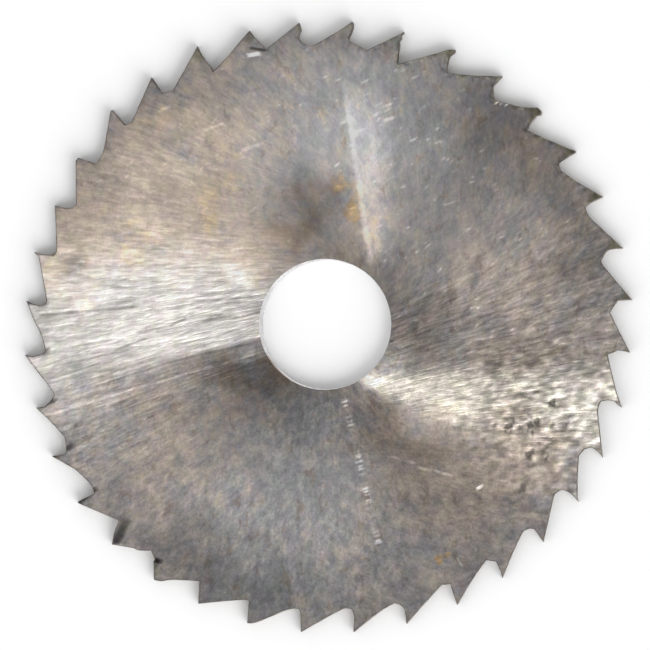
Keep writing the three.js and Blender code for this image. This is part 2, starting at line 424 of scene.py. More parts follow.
def pit_glints(x, y):
    """Painted highlights beside the pits."""
    glints = np.zeros_like(x)
    x, y = warped(x, y, 0.6, 0.3, 3.1)
    for angle, radius, half_width, depth in PITS:
        cx, cy = place(angle, radius) + np.array([0.85, -0.55]) * half_width
        far = np.hypot((x - cx) * 0.8, (y - cy) * 1.5)
        glints += 9 * depth * bell(far, half_width * 0.5)
    return glints


def scratch_shape(x, y):
    """The depth of the scratches and their shine. The long ones fade in and out."""
    recess, shine = np.zeros_like(x), np.zeros_like(x)
    skips = 0.62 + 0.5 * wander(x, y, 1.7, 8.8)
    for start, end, half_width, depth, gloss in NICKS:
        near = np.abs(x - (start[0] + end[0]) / 2) + np.abs(y - (start[1] + end[1]) / 2)
        close = np.nonzero(near < abs(start[0] - end[0]) + abs(start[1] - end[1]) + 3)[0]
        profile = np.clip(1.35 - from_line(x[close], y[close], start, end) / half_width, 0, 1)
        if math.dist(start, end) > 4:
            profile = profile * skips[close]
        recess[close] = np.maximum(recess[close], depth * profile)
        stronger = np.abs(gloss * profile) > np.abs(shine[close])
        shine[close] = np.where(stronger, gloss * profile, shine[close])
    return recess, shine


def facet_shape(x, y):
    """How deep the filed facets at the tips are, and how much they change the lightness."""
    recess, shade = np.zeros_like(x), np.zeros_like(x)
    for tooth, size, slope, lightness in FACETS:
        tip = place(FIRST_TIP_ANGLE + TOOTH_PITCH * tooth, TIP_RADIUS - 0.4)
        far = np.hypot(x - tip[0], y - tip[1])
        recess = np.maximum(recess, slope * np.clip(size - far, 0, 2))
        shade += lightness * (1 - smooth_step(size - 1.0, size + 0.4, far))
    return recess, shade * (0.9 + 0.7 * wander(x, y, 0.7, 17.3))


def hammered(x, y):
    """How strongly the lower right of the disc is covered with small dents."""
    off_axis = angle_between(clock_angle(x, y), 113)
    return bell(off_axis, 19) * smooth_step(17, 34, np.hypot(x, y))


def dents(x, y):
    """Small long dents, from -1 to 1, that run a little uphill to the right."""
    along = 0.985 * x + 0.17 * y
    across = 0.985 * y - 0.17 * x
    return np.clip(2.3 * wander(along / 2.0, across, 0.72, 7.7), -1, 1)


def top_recess(x, y):
    """How far the upper face lies below the blank's full thickness."""
    x, y = x - RIM_CENTRE[0], y - RIM_CENTRE[1]
    waves = 0.010 * (1 + wander(x, y, 9.0, 3.1))
    hollows = 0.030 * (1 - dents(x, y)) * (0.10 + 0.90 * hammered(x, y))
    deepest = np.maximum(pit_shape(x, y), scratch_shape(x, y)[0])
    return waves + hollows + np.maximum(deepest, facet_shape(x, y)[0])


def bottom_recess(x, y):
    """How far the lower face lies above the table."""
    return 0.012 * (1 + wander(x, y, 8.0, 21.3)) + 0.006 * (1 + wander(x, y, 1.4, 5.9))


def left_highlight_fan(x, y, ragged):
    """The fan of painted highlight at the left, sharp below along a spoke, with a slow fade above a
    level line.
    """
    out = smooth_step(14, 50, np.hypot(x, y))
    low_side = angle_between(clock_angle(x, y), 260.5 - 2.5 * out) + ragged * 0.8
    above = y - (6.0 + 0.111 * (-10.7 - x)) + ragged
    shine = smooth_step(-2.5 - 8 * out, 2.5 + 6 * out, low_side)
    return shine * (1 - smooth_step(-2.5, 11.0, above)) * (x < 0)


def right_highlight_wedge(x, y, ragged):
    """The wedge of painted highlight at the lower right, which starts beside the bore."""
    radius = np.hypot(x, y)
    wedge = clock_angle(x - 4.5, y + 8.6) + ragged * 1.2
    low_edge = 121 - 11 * smooth_step(16, 34, radius)
    shine = smooth_step(81.0, 91.0, wedge)
    shine = shine * (1 - smooth_step(low_edge - 8, low_edge + 8, wedge))
    return shine * (x > 4) * (1 - 0.25 * smooth_step(20, 50, radius))


def top_highlight_band(x, y, ragged):
    """The band of painted highlight at the top, beside a straight bright line and wider away from the
    bore.
    """
    side = x - (7.4 - 0.144 * (y - 11.4)) + 0.3 * ragged
    width = 3.5 + 0.10 * (y - 12)
    shine = smooth_step(-1.6, 0.8, side) * (1 - smooth_step(width - 2.5, width + 2.5, side))
    return shine * smooth_step(8, 14, y) * (1 - smooth_step(33, 45, y))


def marks_and_sheen(x, y, left, right):
    """How strongly the grinding marks show, from 0 to 1, as bumps and as painted highlight streaks,
    most in the fans.
    """
    angle = clock_angle(x, y)
    shown = 0.16 + 0.6 * left + 0.75 * right
    for strength, middle, spread in MARK_SHEEN_SECTORS:
        shown = shown + strength * bell(angle_between(angle, middle), spread)
    smooth = bell(np.hypot((x - 13) / 9, (y + 11) / 5), 1)
    return np.clip(shown * (1 - 0.2 * smooth), 0, 1)


def painted_light_and_stains(x, y):
    """The lightness, partly painted highlight and shade, and the tan, brown and ochre of all the
    patches together.
    """
    total = [np.zeros_like(x) for _ in range(4)]
    far_x, far_y = warped(x, y, 7.0, 4.0, 31.7)
    large_places = warped(far_x, far_y, 2.2, 1.6, 14.2)
    small_places = warped(x, y, 1.2, 1.3, 9.5)
    for px, py, half_width, half_height, strengths in PATCHES:
        small = min(half_width, half_height) < 3
        at_x, at_y = small_places if small else large_places
        near = bell(np.hypot((at_x - px) / half_width, (at_y - py) / half_height), 1)
        for values, strength in zip(total, strengths):
            values += strength * near
    return total


def face_marks(x, y, outline):
    """The values that the upper face's material reads, one for each point."""
    gap = gap_to(np.stack([x, y], axis=1), outline)
    x, y = x - RIM_CENTRE[0], y - RIM_CENTRE[1]
    ragged = 1.6 * wander(x, y * 2.5, 2.2, 12.1) + 2.2 * wander(x * 0.4, y * 2.5 - x * 0.6, 1.6, 3.9)
    left, right = left_highlight_fan(x, y, ragged), right_highlight_wedge(x, y, ragged)
    light, tan, brown, ochre = painted_light_and_stains(x, y)
    facet_shade = facet_shape(x, y)[1]
    # Flecks of wear along the edges of the teeth, most of them at the upper right.
    worn = smooth_step(1.0, 0.3, gap) * (0.25 + 0.75 * bell(angle_between(clock_angle(x, y), 42), 34))
    flecks = worn * (1.8 * wander(x, y, 0.7, 43.7) - 0.30)
    return {
        "left_highlight_fan": left,
        "right_highlight_wedge": right,
        "top_highlight_band": top_highlight_band(x, y, ragged),
        "marks_and_sheen": marks_and_sheen(x, y, left, right),
        "brushed": smooth_step(20, 0, np.abs(x)) * (1 - left) * (1 - right),
        # Painted light and shade of the dents: lighter on their rises, darker in their hollows.
        "painted_dent_shading": dents(x, y) * hammered(x, y),
        "pit": np.clip(pit_shape(x, y) / 0.055, 0, 1),
        # The light and dark of the scratches, partly painted highlight and shade, and the painted
        # highlights beside the pits.
        "scratch_and_glint_light": scratch_shape(x, y)[1] + pit_glints(x, y),
        # Lightness: partly painted highlight and shade from the patches, with wear flecks and the
        # facets.
        "light": light + flecks + facet_shade,
        "tan": tan,
        "brown": brown,
        "ochre": ochre,
        "olive": 0.6 * worn - 1.7 * facet_shade,
        # Painted shade along the edges, stronger towards the left.
        "painted_edge_shade": 0.14 + 0.24 * smooth_step(5, -25, x),
        "edge_gap": gap,
    }


# ---------------- the outline

CORNER = 33  # degrees, from which a corner of the outline stays sharp
SHORT_SIDE = 0.12
MOST_BULGE = 0.15  # of a side's length
OUTLINE_STEP = 0.5
FILING = 0.02


def outline_at(mesh, height):
    """The outer ring of edges around the flat face that a solid has at a height."""
    keys = [tuple(np.round(np.array(v.co) / MM, 3) + 0.0) for v in mesh.vertices]
    sides = {}
    for polygon in mesh.polygons:
        corners = [keys[i] for i in polygon.vertices]
        if all(abs(c[2] - height) < 0.002 for c in corners):
            sides.update(dict.fromkeys(zip(corners, corners[1:] + corners[:1])))
    follow = {a: b for a, b in sides if (b, a) not in sides}
    rings = []
    while follow:
        at = next(iter(follow))
        ring = []
        while at in follow:
            ring.append(at[:2])
            at = follow.pop(at)
        rings.append(np.array(ring))
    return max(rings, key=lambda ring: np.hypot(*ring.T).max())


def turn_angles(ring):
    """By how many degrees a ring turns at each of its points."""
    after = following(ring) - ring
    before = np.roll(after, 1, axis=0)
    cross = before[:, 0] * after[:, 1] - before[:, 1] * after[:, 0]
    dot = (before * after).sum(axis=1)
    return np.degrees(np.arctan2(cross, dot))


def rounder(ring):
    """Adds a point in each side, on a smooth curve, but keeps the corners sharp."""
    sharp = np.abs(turn_angles(ring)) > CORNER
    count = len(ring)
    points = []
    for i in range(count):
        here, there = ring[i], ring[(i + 1) % count]
        before = 2 * here - there if sharp[i] else ring[i - 1]
        after = 2 * there - here if sharp[(i + 1) % count] else ring[(i + 2) % count]
        points.append(here)
        length = np.hypot(*(there - here))
        if length > SHORT_SIDE:
            bulge = (here + there - before - after) / 16
            bulge = bulge * min(1, MOST_BULGE * length / max(np.hypot(*bulge), 1e-9))
            points.append((here + there) / 2 + bulge)
    return np.array(points)


def split_sides(ring, longest):
    """Splits the sides of a ring that are longer than a length."""
    points = []
    for here, there in zip(ring, following(ring)):
        steps = max(1, math.ceil(np.hypot(*(there - here)) / longest))
        for step in range(steps):
            points.append(here + (there - here) * step / steps)
    return np.array(points)


def outward_normals(ring):
    """The direction out of the ring at each point, and how square it is to the sides there."""
    after = following(ring) - ring
    after = after / np.linalg.norm(after, axis=1)[:, None]
    before = np.roll(after, 1, axis=0)
    mean = before + after
    mean = mean / np.linalg.norm(mean, axis=1)[:, None]
    return np.stack([mean[:, 1], -mean[:, 0]], axis=1), (before * mean).sum(axis=1)


def crossed_sides(ring, reach=30):
    """The sides of a ring that cross another side a few places on, and those between them."""

    def turned(a, b, c):
        return (b[:, 0] - a[:, 0]) * (c[:, 1] - a[:, 1]) - (b[:, 1] - a[:, 1]) * (c[:, 0] - a[:, 0])

    crossed = np.zeros(len(ring), bool)
    ends = following(ring)
    for step in range(2, reach):
        other, other_ends = np.roll(ring, -step, axis=0), np.roll(ends, -step, axis=0)
        over = turned(ring, ends, other) * turned(ring, ends, other_ends) <= 0
        over &= turned(other, other_ends, ring) * turned(other, other_ends, ends) <= 0
        for side in np.nonzero(over)[0]:
            crossed[np.arange(side, side + step + 1) % len(ring)] = True
    return crossed


def inset(ring, normals, reach):
    """Moves a ring's points inwards, less at short sides and where the ring would cross itself."""
    sides = following(ring) - ring
    for _ in range(40):
        moved = ring - normals * reach[:, None]
        new_sides = following(moved) - moved
        kept = (new_sides * sides).sum(axis=1) / (sides * sides).sum(axis=1)
        tight = (kept < 0.25) | crossed_sides(moved)
        if not tight.any():
            break
        reach[tight] *= 0.8
        reach[np.roll(tight, 1)] *= 0.8
    return moved


def inside(points, ring):
    """Which points lie inside a closed ring."""
    a, b = ring, following(ring)
    within = np.zeros(len(points), bool)
    for block in in_blocks(np.arange(len(points))):
        x, y = points[block, 0][:, None], points[block, 1][:, None]
        crosses = (a[:, 1] > y) != (b[:, 1] > y)
        rise = np.where(b[:, 1] == a[:, 1], 1e-12, b[:, 1] - a[:, 1])
        at = a[:, 0] + (y - a[:, 1]) * (b[:, 0] - a[:, 0]) / rise
        within[block] = (crosses & (x < at)).sum(axis=1) % 2 == 1
    return within


# ---------------- the disc's mesh

EDGE_BREAK = 0.12
LEAST_SQUARE = 0.45  # limits how far a sharp corner moves in for the edge break
BORE_SIDES = 240
BORE_RADIUS = 22.23 / 2
BORE_CHAMFER = 0.3
MOUTH_CENTRE = np.array([-0.21, 0.0])  # the chamfer was cut by hand, wider to the left
MOUTH_REACH = np.array([BORE_RADIUS + 0.27, BORE_RADIUS + 0.13])

# How far apart the points of the two faces are, and how far they stay from the edges.
TOP_SPACING, TOP_MOUTH_GAP, TOP_RIM_GAP = 0.46, 0.3, 0.24
BOTTOM_SPACING, BOTTOM_GAP = 1.0, 0.4

FACE_FINISH, RIM_FINISH, BORE_FINISH, BACK_FINISH, MOUTH_FINISH = 0, 1, 2, 3, 4


def from_mouth(points):
    """About how far points are outside the mouth of the bore."""
    scaled = (points - MOUTH_CENTRE) / MOUTH_REACH
    return (np.hypot(scaled[:, 0], scaled[:, 1]) - 1) * BORE_RADIUS


def filling_points(spacing, seed, outline, mouth_gap):
    """An even scatter of points inside an outline and clear of the bore."""
    random = np.random.default_rng(seed)
    rows = np.arange(-TIP_RADIUS - 1, TIP_RADIUS + 1, spacing * 0.866)
    points = []
    for i, y in enumerate(rows):
        xs = np.arange(-TIP_RADIUS - 1 + (i % 2) * spacing / 2, TIP_RADIUS + 1, spacing)
        points.append(np.stack([xs, np.full(len(xs), y)], axis=1))
    points = np.concatenate(points)
    points = points + random.uniform(-0.12, 0.12, points.shape) * spacing
    points = points[from_mouth(points) > mouth_gap]
    return points[inside(points, outline)]


def mark_points():
    """Points that carry the shape of the pits and scratches, and the lines that they belong to."""
    points, claimed = [], []
    for angle, radius, half_width, _ in PITS:
        centre = place(angle, radius) + RIM_CENTRE
        points.append(centre[None])
        for ring in (0.3, 0.6, 0.9, 1.25, 1.6):
            count = 6 + int(ring * 8)
            turns = np.arange(count) / count * 2 * math.pi + ring * 3
            ring_points = np.stack([np.cos(turns), np.sin(turns)], axis=1)
            points.append(centre + ring_points * half_width * ring)
        claimed.append((centre, centre + 1e-6, half_width * 1.9))
    for start, end, half_width, _, _ in NICKS:
        start, end = np.array(start) + RIM_CENTRE, np.array(end) + RIM_CENTRE
        length = np.hypot(*(end - start))
        along = (end - start) / length
        across = np.array([-along[1], along[0]])
        runs = np.linspace(-0.2, length + 0.2, int(length / 0.45) + 3)
        for aside in (-1.4, -0.5, 0.5, 1.4):
            points.append(start + runs[:, None] * along + aside * half_width * across)
        claimed.append((start, end, half_width * 2.0))
    return np.concatenate(points), claimed


def top_points(inner):
    """The points of the upper face: an even scatter, and rows along the marks instead of it."""
    marks, claimed = mark_points()
    fill = filling_points(TOP_SPACING, 11, inner, TOP_MOUTH_GAP)
    for start, end, clear in claimed:
        fill = fill[from_line(fill[:, 0], fill[:, 1], start, end) > clear]
    points = np.concatenate([fill, marks])
    return points[gap_to(points, inner) > TOP_RIM_GAP]


def bottom_points(inner):
    points = filling_points(BOTTOM_SPACING, 12, inner, BOTTOM_GAP)
    return points[gap_to(points, inner) > BOTTOM_GAP]


def ring_sides(first, count):
    return [(first + i, first + (i + 1) % count) for i in range(count)]


def triangulate(outline, mouth, fill):
    """Triangles over the face between the outline and the bore, and where each point went."""
    points = np.concatenate([outline, mouth, fill])
    sides = ring_sides(0, len(outline)) + ring_sides(len(outline), len(mouth))
    result = delaunay_2d_cdt([Vector(p) for p in points], sides, [], 0, 1e-6)
    made, _, faces, made_from = result[:4]
    place_of = {source: i for i, sources in enumerate(made_from) for source in sources}
    made = np.array([tuple(v) for v in made])
    faces = np.array([f for f in faces if len(f) == 3])
    centres = made[faces].mean(axis=1)
    good = (from_mouth(centres) > -0.0005) & inside(centres, outline)
    return made, faces[good], place_of


def circle(radius, sides):
    turns = np.arange(sides) / sides * 2 * math.pi
    return np.stack([radius * np.cos(turns), radius * np.sin(turns)], axis=1)


class Shell:
    """Collects the points, faces and material numbers of one closed mesh."""

    def __init__(self):
        self.points = []
        self.faces = []
        self.finishes = []
        self.count = 0

    def add_points(self, xy, z):
        self.points.append(np.column_stack([xy, np.broadcast_to(z, len(xy))]))
        self.count += len(xy)
        return np.arange(self.count - len(xy), self.count)

    def add_faces(self, faces, finish):
        self.faces.extend([tuple(int(i) for i in f) for f in faces])
        self.finishes.extend([finish] * len(faces))

    def bridge(self, ring_a, ring_b, finish):
        """Joins two rings with the same number of points by four-sided faces."""
        a_next, b_next = np.roll(ring_a, -1), np.roll(ring_b, -1)
        self.add_faces(list(zip(ring_a, ring_b, b_next, a_next)), finish)

    def add_sheet(self, rim, mouth, fill, height, finish, facing):
        """Adds a face of the disc, facing up (1) or down (-1), and returns its two rings."""
        made, faces, place_of = triangulate(rim, mouth, fill)
        points = self.add_points(made, height(made[:, 0], made[:, 1]))
        self.add_faces(points[faces][:, ::facing], finish)
        rim_ring = points[[place_of[i] for i in range(len(rim))]]
        mouth_ring = points[[place_of[len(rim) + i] for i in range(len(mouth))]]
        return rim_ring, mouth_ring


def add_rim(shell, outline, normals, top_ring, bottom_ring):
    """The rim: a broken edge, a filed wall in three bands, and a broken edge below."""
    level = THICKNESS - top_recess(outline[:, 0], outline[:, 1])
    rings = [top_ring]
    for number, (part, bow) in enumerate(((1.0, 0.0), (0.68, 0.03), (0.34, 0.03), (0.0, 0.0))):
        z = EDGE_BREAK + (level - 2 * EDGE_BREAK) * part
        rough = bow * (1 + wander(outline[:, 0] * 1.7, outline[:, 1] * 1.7 + number * 9, 0.8, 4.4))
        rings.append(shell.add_points(outline - normals * rough[:, None], z))
    rings.append(bottom_ring)
    for upper, lower in zip(rings, rings[1:]):
        shell.bridge(upper, lower, RIM_FINISH)


def add_bore(shell, top_ring, bottom_ring):
    """The bore: a chamfer, the wall in two bands, and a chamfer below."""
    bore = circle(BORE_RADIUS, BORE_SIDES)
    heights = (THICKNESS - BORE_CHAMFER, THICKNESS / 2, BORE_CHAMFER)
    rings = [top_ring, *(shell.add_points(bore, z) for z in heights), bottom_ring]
    finishes = (MOUTH_FINISH, BORE_FINISH, BORE_FINISH, MOUTH_FINISH)
    for upper, lower, finish in zip(rings, rings[1:], finishes):
        shell.bridge(lower, upper, finish)


def make_mesh(shell, outline, top_count):
    """The shell as a mesh, with the marks' values on the points of its upper face."""
    points = np.concatenate(shell.points)
    mesh = bpy.data.meshes.new("ground_blade")
    mesh.from_pydata(points * MM, [], shell.faces)
    mesh.polygons.foreach_set("material_index", shell.finishes)
    mesh.polygons.foreach_set("use_smooth", [True] * len(shell.faces))
    mesh.update()
    mesh.set_sharp_from_angle(angle=math.radians(24))
    for name, values in face_marks(*points[:top_count, :2].T, outline).items():
        layer = mesh.attributes.new(name, "FLOAT", "POINT")
        full = np.full(len(points), FAR_FROM_EDGE if name == "edge_gap" else 0.0)
        full[:top_count] = values
        layer.data.foreach_set("value", full)
    return mesh


def build_blade():
    """The disc as one closed mesh, from the CAD disc's outline."""
    outline = outline_at(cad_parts["toothed_disc"].data, THICKNESS)
    outline = split_sides(rounder(rounder(outline)), OUTLINE_STEP)
    normals, _ = outward_normals(outline)
    filed = FILING * (1 + wander(outline[:, 0], outline[:, 1], 0.9, 2.2))
    outline = inset(outline, normals, filed)
    edge_normals, square = outward_normals(outline)
    inner = inset(outline, edge_normals, EDGE_BREAK / np.maximum(square, LEAST_SQUARE))
    mouth = circle(1, BORE_SIDES) * MOUTH_REACH + MOUTH_CENTRE

    def top_height(x, y):
        return THICKNESS - top_recess(x, y)

    shell = Shell()
    top = shell.add_sheet(inner, mouth, top_points(inner), top_height, FACE_FINISH, 1)
    top_count = shell.count
    bottom = shell.add_sheet(inner, mouth, bottom_points(inner), bottom_recess, BACK_FINISH, -1)
    add_rim(shell, outline, normals, top[0], bottom[0])
    add_bore(shell, top[1], bottom[1])
    return new_object("ground_blade", make_mesh(shell, outline, top_count))


blade = build_blade()
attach(blade, "root")
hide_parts("toothed_disc")


# ---------------- materials

# The far hubs that the straight grinding marks of the left and the right half spread from.
LEFT_HUB = (30.0, 11.0)
RIGHT_HUB = (-30.0, -20.0)
CURL_RADIUS = 27.0

COOL_STEEL = (0.388, 0.392, 0.396, 1)
WARM_STEEL = (0.464, 0.403, 0.362, 1)
# The tints of the painted highlights in the left and right fans.
LEFT_HIGHLIGHT_TINT = (0.44, 0.427, 0.405, 1)
RIGHT_HIGHLIGHT_TINT = (0.44, 0.415, 0.355, 1)
BROWN_STAIN = (0.36, 0.285, 0.23, 1)
STAINS = {
    "tan": (0.503, 0.426, 0.351, 1),
    "brown": BROWN_STAIN,
    "ochre": (0.53, 0.385, 0.22, 1),
    "olive": (0.36, 0.34, 0.24, 1),
}
PIT_OXIDE = (0.10, 0.09, 0.08, 1)
MAUVE_TINT = (1.0, 0.957, 1.0, 1)
GREEN_TINT = (0.972, 1.0, 0.953, 1)

# How much lighter the painted highlights of the two fans and the pale band are, in stops: each stop
# doubles the light.
LEFT_HIGHLIGHT_STOPS, RIGHT_HIGHLIGHT_STOPS, TOP_HIGHLIGHT_STOPS = 0.95, 0.45, 0.62


class Tree:
    """Short ways to add nodes to a material or world."""

    def __init__(self, owner):
        owner.use_nodes = True
        self.nodes = owner.node_tree.nodes
        self.links = owner.node_tree.links
        self.nodes.clear()

    def add(self, kind, inputs=(), **settings):
        """Adds a node, with a value or a link for each of the named or numbered inputs."""
        node = self.nodes.new(kind)
        for name, value in settings.items():
            setattr(node, name, value)
        for name, value in dict(inputs).items():
            if isinstance(value, bpy.types.NodeSocket):
                self.links.new(value, node.inputs[name])
            else:
                node.inputs[name].default_value = value
        return node

    def math(self, operation, *values):
        return self.add("ShaderNodeMath", enumerate(values), operation=operation).outputs[0]

    def total(self, *parts):
        """Adds up values, each one alone or in a pair with its weight."""
        result = 0.0
        for part in parts:
            value, weight = part if isinstance(part, tuple) else (part, 1.0)
            result = self.math("MULTIPLY_ADD", value, weight, result)
        return result

    def product(self, *values):
        result = values[0]
        for value in values[1:]:
            result = self.math("MULTIPLY", result, value)
        return result

    def vector_math(self, operation, *values):
        node = self.add("ShaderNodeVectorMath", enumerate(values), operation=operation)
        return node.outputs["Value" if operation == "LENGTH" else "Vector"]

    def scaled(self, vector, factor):
        inputs = {0: vector, "Scale": factor}
        return self.add("ShaderNodeVectorMath", inputs, operation="SCALE").outputs[0]

    def stretch(self, vector, *factors):
        return self.add("ShaderNodeMapping", {"Vector": vector, "Scale": factors}).outputs[0]

    def combine(self, *values):
        return self.add("ShaderNodeCombineXYZ", enumerate(values)).outputs[0]

    def noise(self, vector, scale, detail, roughness, distortion=0.0):
        inputs = {
            "Vector": vector,
            "Scale": scale,
            "Detail": detail,
            "Roughness": roughness,
            "Distortion": distortion,
        }
        return self.add("ShaderNodeTexNoise", inputs).outputs["Fac"]

    def between(self, value, low, high, to_low=0.0, to_high=1.0, kind="SMOOTHSTEP"):
        """Goes from to_low to to_high while a value rises from low to high."""
        inputs = enumerate((value, low, high, to_low, to_high))
        return self.add("ShaderNodeMapRange", inputs, interpolation_type=kind).outputs[0]

    def mix(self, factor, a, b, blend="MIX"):
        inputs = {0: factor, 6: a, 7: b}
        node = self.add("ShaderNodeMix", inputs, data_type="RGBA", blend_type=blend)
        return node.outputs[2]

    def mix_numbers(self, factor, a, b):
        inputs = {0: factor, 2: a, 3: b}
        return self.add("ShaderNodeMix", inputs, data_type="FLOAT").outputs[0]

    def attribute(self, name):
        return self.add("ShaderNodeAttribute", attribute_name=name).outputs["Fac"]

    def place_mm(self):
        """The place on the piece, in millimetres."""
        return self.scaled(self.add("ShaderNodeTexCoord").outputs["Object"], 1 / MM)

    def show(self, shader, output="ShaderNodeOutputMaterial"):
        self.add(output, {"Surface": shader.outputs[0]})

    def steel(self, colour, metallic, roughness, height, **others):
        """The steel shader, with a bump of a height in millimetres."""
        bump = self.add("ShaderNodeBump", {"Strength": 1.0, "Distance": MM, "Height": height})
        inputs = {"Base Color": colour, "Metallic": metallic, "Roughness": roughness}
        self.show(self.add("ShaderNodeBsdfPrincipled", {**inputs, **others, "Normal": bump.outputs[0]}))


class FaceTree(Tree):
    """The nodes of a ground face. Its noise textures run from about -0.5 to 0.5."""

    def __init__(self, material, shift):
        super().__init__(material)
        place_mm = self.place_mm()
        self.place = self.vector_math("ADD", place_mm, shift)
        self.seed = shift[0]
        self.flat = self.stretch(place_mm, 1, 1, 0)
        self.radius = self.vector_math("LENGTH", self.flat)
        x, y, _ = self.add("ShaderNodeSeparateXYZ", {0: self.flat}).outputs
        self.turn = self.math("ARCTAN2", x, y)
        self.right_half = self.between(x, -7.0, 7.0)
        self.curled = self.curled_turn()
        self.hairs = self.curled_marks((22, 1.3, 2.7), (54, 1.5, 7.9))
        self.tufts = self.curled_marks((9, 2.6, 3.3), (19, 3.0, 8.5))
        self.streak = self.straight_marks()
        self.spots = self.patches(0.62, 5.0, 0.70, 0.3, squeeze=0.55)
        self.blotches = self.patches(0.26, 3.0, 0.6, 0.5, squeeze=0.7)
        self.grain = self.patches(2.5, 3.0, 0.7)
        self.rust = self.between(self.patches(0.55, 3.0, 0.65, 0.6, squeeze=0.6), 0.05, 0.20)
        self.mottle = self.total((self.tufts, 1.5), self.blotches, (self.spots, 1.1))

    def patches(self, scale, detail, roughness, distortion=0.0, squeeze=1.0):
        """Noise over the face, drawn out up and down where squeeze is under 1."""
        place = self.stretch(self.place, 1.0, squeeze, 1.0)
        return self.math("SUBTRACT", self.noise(place, scale, detail, roughness, distortion), 0.5)

    def toward(self, angle):
        """From 1 at a clock angle to -1 opposite it."""
        return self.math("COSINE", self.math("SUBTRACT", self.turn, math.radians(angle)))

    def curled_turn(self):
        """The angle at which the curled mark through a point meets the circle of CURL_RADIUS."""
        less = self.between(self.toward(198), 0.5, 1.0, 0.0, 20.0)
        tilt = self.total(22.0, (self.toward(60), 12.0), (less, -1.0))
        tilt = self.math("TANGENT", self.math("RADIANS", tilt))
        log_radius = self.math("LOGARITHM", self.math("DIVIDE", self.radius, CURL_RADIUS), math.e)
        return self.total(self.turn, (tilt, log_radius))

    def curls(self, count, length, seed):
        """Noise drawn out along the curled marks, which are finer where the count is higher."""
        spot = self.combine(
            self.product(self.math("COSINE", self.curled), count),
            self.product(self.math("SINE", self.curled), count),
            self.math("ADD", self.math("DIVIDE", self.radius, length), seed + self.seed),
        )
        return self.math("SUBTRACT", self.noise(spot, 1.0, 3.0, 0.62, 0.4), 0.5)

    def curled_marks(self, inner, outer):
        """Curled marks, fewer round the disc near the bore than far from it."""
        far_out = self.between(self.radius, 18.0, 38.0)
        return self.mix_numbers(far_out, self.curls(*inner), self.curls(*outer))

    def spokes(self, hub, count, length, detail, seed):
        """Noise drawn out along lines that spread from a hub."""
        away = self.vector_math("SUBTRACT", self.flat, (*hub, 0.0))
        around = self.scaled(self.vector_math("NORMALIZE", away), count)
        far = self.math("DIVIDE", self.vector_math("LENGTH", away), length)
        lift = self.combine(0.0, 0.0, self.math("ADD", far, seed))
        return self.noise(self.vector_math("ADD", around, lift), 1.0, detail, 0.6, 0.5)

    def straight_marks(self):
        """Fine and broad grinding marks that run nearly straight across each half."""

        def marks(count, length, detail, seed):
            left = self.spokes(LEFT_HUB, count, length, detail, seed)
            right = self.spokes(RIGHT_HUB, count, length, detail, seed + 4.7)
            return self.math("SUBTRACT", self.mix_numbers(self.right_half, left, right), 0.5)

        both = self.total(marks(108, 3.0, 1.5, 1.3), (marks(60, 6.5, 2.0, 5.1), 0.95))
        return self.product(both, self.math("MAXIMUM", self.attribute("marks_and_sheen"), 0.14))

    def across_marks(self):
        """The direction across the marks, which draws the highlights out."""
        twice = self.math("MULTIPLY_ADD", self.turn, 2.0, -2 * math.radians(322))
        curl = self.total(10.5, (self.radius, -0.35))
        lean = self.total(
            20.0,
            (self.math("COSINE", twice), 18.0),
            (self.toward(265), -3.0),
            (curl, self.right_half),
        )
        across = self.vector_math("CROSS_PRODUCT", self.flat, (0.0, 0.0, 1.0))
        inputs = {"Vector": across, "Angle": self.math("RADIANS", lean)}
        return self.add("ShaderNodeVectorRotate", inputs, rotation_type="Z_AXIS").outputs[0]

    def colour(self):
        """Blue-grey and brown-grey steel in soft patches, with stains and faint tints over it, and the
        tints of the painted highlights in the fans.
        """
        clouds = self.patches(0.09, 4.0, 0.62, 0.4)
        warm = self.total(clouds, self.mottle, (self.attribute("tan"), 0.6))
        colour = self.mix(self.between(warm, -0.45, 0.45), COOL_STEEL, WARM_STEEL)
        colour = self.mix(self.product(self.rust, 0.55), colour, BROWN_STAIN)
        # The fans' painted highlights are tinted here.
        for fan, paint in (("left_highlight_fan", LEFT_HIGHLIGHT_TINT), ("right_highlight_wedge", RIGHT_HIGHLIGHT_TINT)):
            colour = self.mix(self.product(self.attribute(fan), 0.8), colour, paint)
        for stain, paint in STAINS.items():
            amount = self.total(self.attribute(stain), (self.mottle, 0.7))
            colour = self.mix(self.between(amount, 0.15, 1.0, 0.0, 0.9), colour, paint)
        tint = self.total(self.patches(0.45, 5.0, 0.80, 0.5, squeeze=0.7), (self.tufts, 0.4))
        tint = self.mix(self.between(tint, -0.12, 0.12), MAUVE_TINT, GREEN_TINT)
        return self.mix(1.0, colour, tint, "MULTIPLY")

    def texture_stops(self):
        """How much the fine texture brightens or darkens the steel, in stops."""
        specks = self.between(self.patches(1.5, 2.0, 0.6), 0.16, 0.26)
        texture = self.total(
            (self.spots, 0.85),
            self.grain,
            (self.hairs, 1.3),
            (self.tufts, 0.9),
            (specks, 0.35),
            (self.rust, -0.15),
        )
        busy = self.total(0.95, (self.toward(165), 0.3))
        calm = self.total(1.0, (self.attribute("left_highlight_fan"), -0.6))
        return self.product(texture, busy, calm)

